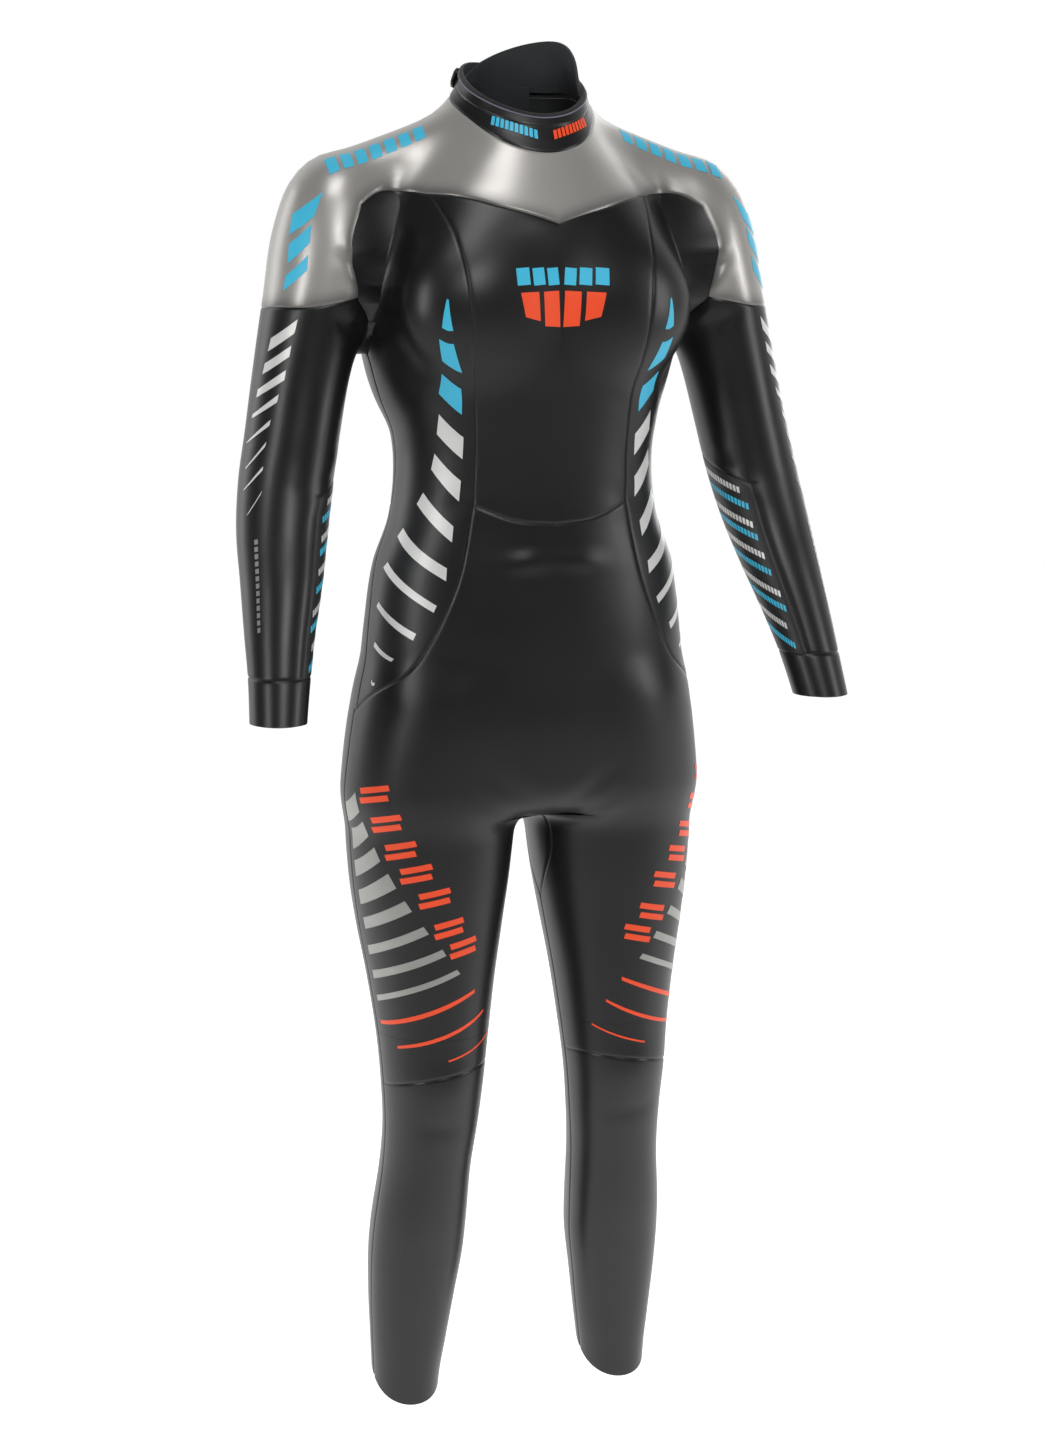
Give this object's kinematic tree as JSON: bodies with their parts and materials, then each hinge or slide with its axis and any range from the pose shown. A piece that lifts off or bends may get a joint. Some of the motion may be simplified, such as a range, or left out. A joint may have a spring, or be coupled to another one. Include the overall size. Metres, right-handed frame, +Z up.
{
  "type": "full wetsuit",
  "caption": "Full-length swimming wetsuit of glued neoprene panels with a stand-up collar, a back zip and a neck closure flap.",
  "frame": {"origin": "centre of the neck at the height of the shoulders' base, on the suit's plane of symmetry", "axes": "+Z up the body, -Y the wearer's front, +X the wearer's left"},
  "size_m": [0.6486, 0.2705, 1.4545],
  "materials": {
    "smooth_skin": "smooth coated black neoprene with a soft satin gloss",
    "silver_skin": "smooth coated neoprene in a warm silver grey",
    "stretch_jersey": "dark grey stretch jersey laminated to neoprene",
    "catch_rubber": "matt black textured rubber on the inner forearm",
    "binding_tape": "black woven tape and webbing",
    "loop_pile": "black loop pile",
    "moulded_black": "black moulded plastic",
    "dark_metal": "black enamelled zinc"
  },
  "bodies": {
    "root": {"shoulder_yoke": "silver_skin", "chest_panel": "smooth_skin", "front_leg_panel": "smooth_skin", "crotch_gusset": "stretch_jersey", "collar_band": "smooth_skin", "collar_binding": "binding_tape", "neck_guard": "stretch_jersey", "zip_backing_flap": "stretch_jersey", "flap_stitch_strip": "binding_tape", "collar_hook_patch": "moulded_black", "zip_bottom_stop": "dark_metal", "flank_panel_left": "smooth_skin", "flank_panel_right": "smooth_skin", "back_panel_left": "smooth_skin", "back_panel_right": "smooth_skin", "seat_panel_left": "smooth_skin", "seat_panel_right": "smooth_skin", "knee_section_left": "smooth_skin", "knee_section_right": "smooth_skin", "upper_sleeve_left": "smooth_skin", "upper_sleeve_right": "smooth_skin", "elbow_section_left": "smooth_skin", "elbow_section_right": "smooth_skin", "zip_tape_left": "binding_tape", "zip_tape_right": "binding_tape", "zip_chain_left": "moulded_black", "zip_chain_right": "moulded_black", "zip_top_stop_left": "dark_metal", "zip_top_stop_right": "dark_metal"},
    "forearm_left": {"forearm_sleeve_left": "smooth_skin", "catch_panel_left": "catch_rubber", "cuff_left": "smooth_skin"},
    "forearm_right": {"forearm_sleeve_right": "smooth_skin", "catch_panel_right": "catch_rubber", "cuff_right": "smooth_skin"},
    "lower_leg_left": {"shin_panel_left": "smooth_skin", "calf_panel_left": "smooth_skin"},
    "lower_leg_right": {"shin_panel_right": "smooth_skin", "calf_panel_right": "smooth_skin"},
    "zip_slider": {"zip_slider": "dark_metal"},
    "zip_puller": {"zip_puller": "dark_metal"},
    "closure_flap": {"closure_flap": "smooth_skin", "flap_loop_patch": "loop_pile", "flap_pull_tab": "binding_tape"}
  },
  "joints": [
    {"name": "left_elbow_bend", "type": "hinge", "parent": "root", "child": "forearm_left", "pos_m": [0.253, -0.0054, -0.335], "axis": [-1, 0, 0], "range_deg": [0, 70], "stiffness_Nm_per_rad": 0.8, "deforming": ["elbow_section_left"]},
    {"name": "right_elbow_bend", "type": "hinge", "parent": "root", "child": "forearm_right", "pos_m": [-0.253, -0.0054, -0.335], "axis": [-1, 0, 0], "range_deg": [0, 70], "stiffness_Nm_per_rad": 0.8, "deforming": ["elbow_section_right"]},
    {"name": "left_knee_bend", "type": "hinge", "parent": "root", "child": "lower_leg_left", "pos_m": [0.104, -0.004, -1], "axis": [1, 0, 0], "range_deg": [0, 75], "stiffness_Nm_per_rad": 2, "deforming": ["knee_section_left"]},
    {"name": "right_knee_bend", "type": "hinge", "parent": "root", "child": "lower_leg_right", "pos_m": [-0.104, -0.004, -1], "axis": [1, 0, 0], "range_deg": [0, 75], "stiffness_Nm_per_rad": 2, "deforming": ["knee_section_right"]},
    {"name": "zip_run", "type": "hinge", "parent": "root", "child": "zip_slider", "pos_m": [0, -0.49996, -0.19168], "axis": [-1, 0, 0], "range_deg": [0, 34.2]},
    {"name": "puller_swing", "type": "hinge", "parent": "zip_slider", "child": "zip_puller", "pos_m": [0, 0.07376, 0.01671], "axis": [1, 0, 0], "range_deg": [0, 150]},
    {"name": "closure_flap_open", "type": "hinge", "parent": "root", "child": "closure_flap", "pos_m": [0.033, 0.062, 0.045], "axis": [0, 0, -1], "range_deg": [0, 110], "stiffness_Nm_per_rad": 0.02}
  ]
}
